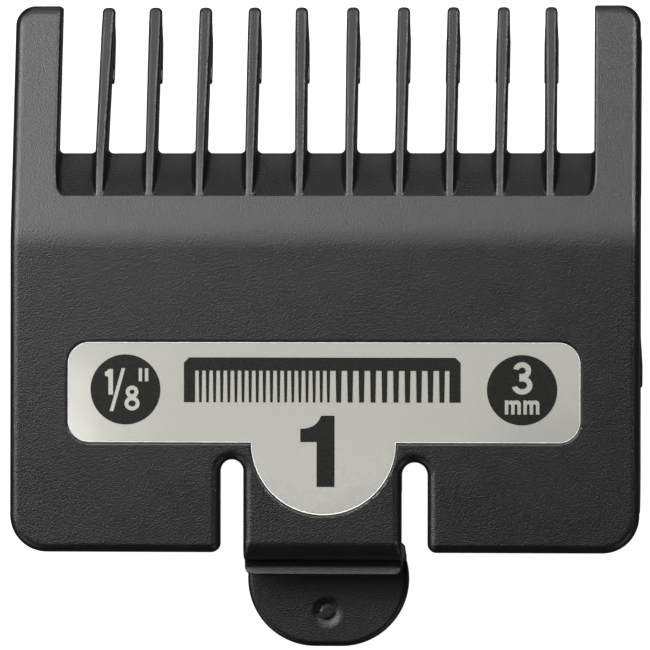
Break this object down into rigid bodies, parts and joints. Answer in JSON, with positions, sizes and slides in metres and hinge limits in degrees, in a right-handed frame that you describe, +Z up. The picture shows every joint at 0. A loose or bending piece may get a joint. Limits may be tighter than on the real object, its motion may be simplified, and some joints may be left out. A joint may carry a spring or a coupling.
{
  "type": "clipper guard comb",
  "caption": "Clip-on clipper guard comb: moulded body with hooked fins, broad end teeth and cheeks, a flexing rear latch tongue with thumb tab, and an inlaid metal size badge.",
  "frame": {"origin": "centre of the comb's footprint, on the plane of the two cheek rims that it lies on", "axes": "+X across the comb to the right as seen from the skin side, +Y towards the tooth tips, +Z up, out of the skin side"},
  "size_m": [0.0482, 0.0492, 0.0088],
  "materials": {
    "plastic": "fine-grained satin black, moulded",
    "badge": "satin, slightly warm silver",
    "adhesive": "translucent adhesive film",
    "ink": "printed black"
  },
  "bodies": {
    "comb_body": {"face_plate": "plastic", "left_cheek": "plastic", "right_cheek": "plastic", "left_end_tooth": "plastic", "right_end_tooth": "plastic", "tooth_01": "plastic", "tooth_02": "plastic", "tooth_03": "plastic", "tooth_04": "plastic", "tooth_05": "plastic", "tooth_06": "plastic", "tooth_07": "plastic", "tooth_08": "plastic", "tooth_09": "plastic", "tooth_10": "plastic", "left_blade_rail": "plastic", "right_blade_rail": "plastic", "badge_adhesive": "adhesive", "badge_plate": "badge", "left_roundel": "ink", "right_roundel": "ink", "size_numeral": "ink"},
    "latch": {"latch_tongue": "plastic", "latch_riser": "plastic", "nail_lip": "plastic", "thumb_tab": "plastic"}
  },
  "joints": [
    {"name": "latch_flex", "type": "hinge", "parent": "comb_body", "child": "latch", "pos_m": [0, -0.0148, 0.008], "axis": [-1, 0, 0], "range_deg": [0, 12], "stiffness_Nm_per_rad": 0.3}
  ]
}
